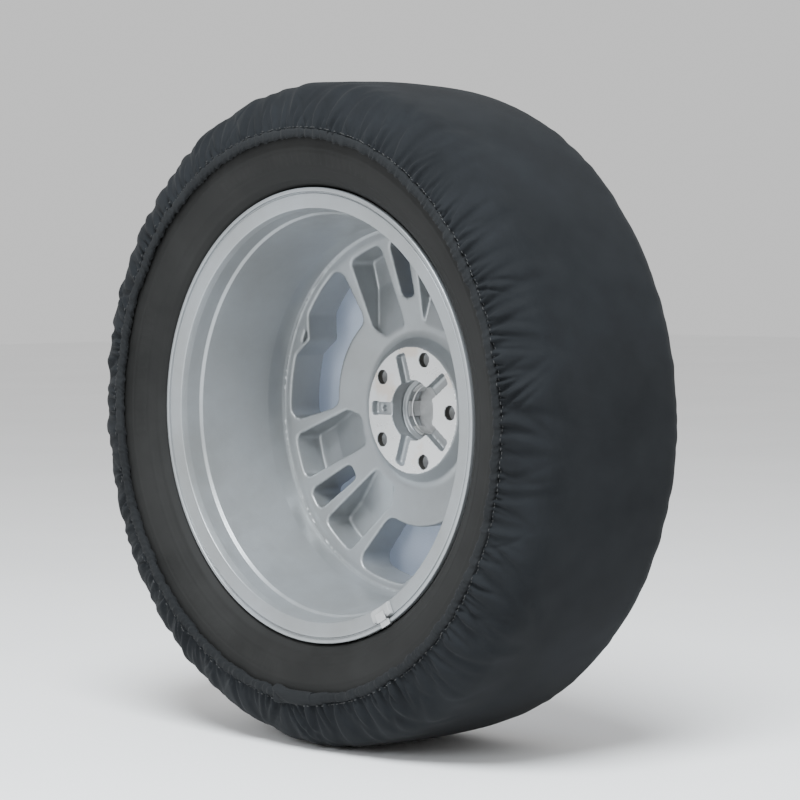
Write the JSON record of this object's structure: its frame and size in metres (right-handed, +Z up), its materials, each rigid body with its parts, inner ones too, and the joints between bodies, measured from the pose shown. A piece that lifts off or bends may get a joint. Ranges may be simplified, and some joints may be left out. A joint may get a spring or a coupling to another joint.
{
  "type": "car wheel with textile snow sock",
  "caption": "Alloy car wheel and tyre with a textile snow sock pulled over the tread, its gathered elastic hem lying on the inboard sidewall",
  "frame": {"origin": "middle of the bolt circle, in the plane of the hub pad, on the wheel's axis", "axes": "+Y along the wheel's axis, outboard; -Y inboard, the way the hub comes off; +Z up; +X to the side"},
  "size_m": [0.6929, 0.2312, 0.693],
  "materials": {
    "alloy_wheel": "silver lacquer over a sand-textured casting, hub pad machined bright",
    "tyre": "matt black rubber",
    "bead_core_inboard": "bronze-coated wire bundle",
    "bead_core_outboard": "bronze-coated wire bundle",
    "steel_belt_outer": "brass-coated steel cord",
    "steel_belt_inner": "brass-coated steel cord",
    "centre_cap": "silver-painted plastic",
    "centre_cap_ring": "spring wire",
    "balance_weight": "grey powder-coated zinc",
    "balance_weight_clip": "zinc-plated spring steel",
    "sock_tread_panel": "charcoal woven polyester, tight weave",
    "sock_inboard_side": "charcoal woven polyester, gathered",
    "sock_outboard_side": "charcoal woven polyester, gathered",
    "sock_face_panel": "pale grey woven polyester",
    "sock_inboard_elastic": "covered elastic cord",
    "sock_face_elastic": "covered elastic cord",
    "valve_body": "matt black rubber",
    "valve_tube": "turned brass",
    "valve_core": "turned brass",
    "valve_pin": "turned brass",
    "valve_core_seal": "black rubber",
    "valve_spring": "spring wire",
    "valve_cap": "black moulded plastic",
    "valve_cap_seal": "black rubber"
  },
  "bodies": {
    "wheel": {"alloy_wheel": "alloy_wheel", "tyre": "tyre", "bead_core_inboard": "bead_core_inboard", "bead_core_outboard": "bead_core_outboard", "steel_belt_outer": "steel_belt_outer", "steel_belt_inner": "steel_belt_inner", "balance_weight": "balance_weight", "balance_weight_clip": "balance_weight_clip", "valve_body": "valve_body", "valve_tube": "valve_tube", "valve_core": "valve_core", "valve_spring": "valve_spring"},
    "sock": {"sock_tread_panel": "sock_tread_panel", "sock_inboard_side": "sock_inboard_side", "sock_outboard_side": "sock_outboard_side", "sock_face_panel": "sock_face_panel", "sock_inboard_elastic": "sock_inboard_elastic", "sock_face_elastic": "sock_face_elastic"},
    "centre_cap": {"centre_cap": "centre_cap", "centre_cap_ring": "centre_cap_ring"},
    "valve_cap_seal": {"valve_cap_seal": "valve_cap_seal"},
    "valve_cap": {"valve_cap": "valve_cap"},
    "valve_pin": {"valve_pin": "valve_pin", "valve_core_seal": "valve_core_seal"}
  },
  "joints": [
    {"name": "sock_pull_off", "type": "slide", "parent": "wheel", "child": "sock", "axis": [0, 1, 0], "range_m": [0, 0.3], "deforming": ["sock_tread_panel", "sock_inboard_side", "sock_outboard_side", "sock_face_panel", "sock_inboard_elastic", "sock_face_elastic"]},
    {"name": "centre_cap_pull", "type": "slide", "parent": "wheel", "child": "centre_cap", "axis": [0, 1, 0], "range_m": [0, 0.022]},
    {"name": "valve_cap_lift", "type": "slide", "parent": "wheel", "child": "valve_cap_seal", "axis": [0.357, 0.9191, -0.1665], "range_m": [0, 0.0092]},
    {"name": "valve_cap_turn", "type": "hinge", "parent": "valve_cap_seal", "child": "valve_cap", "pos_m": [-0.18851, 0.003, 0.0879], "axis": [0.357, 0.9191, -0.1665], "range_deg": [0, 4140]},
    {"name": "valve_pin_press", "type": "slide", "parent": "wheel", "child": "valve_pin", "axis": [-0.357, -0.9191, 0.1665], "range_m": [0, 0.0012], "stiffness_N_per_m": 300, "springref_m": -0.004, "deforming": ["valve_spring"]}
  ],
  "couplings": [
    {"joint": "valve_cap_lift", "follows": "valve_cap_turn", "m_per_rad": 0.00012637}
  ]
}
